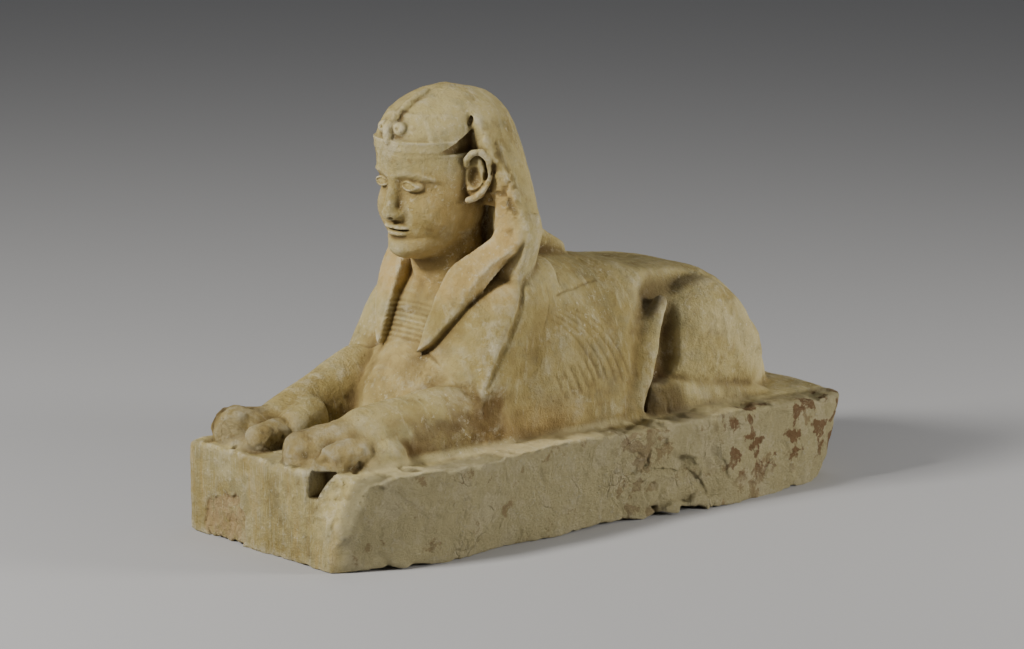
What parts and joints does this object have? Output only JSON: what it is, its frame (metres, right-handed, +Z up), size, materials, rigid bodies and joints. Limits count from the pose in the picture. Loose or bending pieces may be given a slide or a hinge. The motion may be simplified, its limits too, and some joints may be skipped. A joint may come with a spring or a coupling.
{
  "type": "sphinx statue",
  "caption": "Couchant sphinx with a king's head in a nemes headcloth, carved with its rough plinth from one block of yellow limestone, worn and chipped.",
  "frame": {"origin": "on the flat underside, below the sphinx's own middle plane, halfway along the plinth", "axes": "+Z up; the sphinx looks along -Y; +X is the sphinx's left"},
  "size_m": [0.3188, 0.761, 0.51],
  "materials": {
    "limestone": "worn warm yellow limestone, matt, ochre in the hollows, pale on the rubbed edges, rough where the plinth is broken"
  },
  "bodies": {
    "root": {"sphinx": "limestone"}
  },
  "joints": []
}
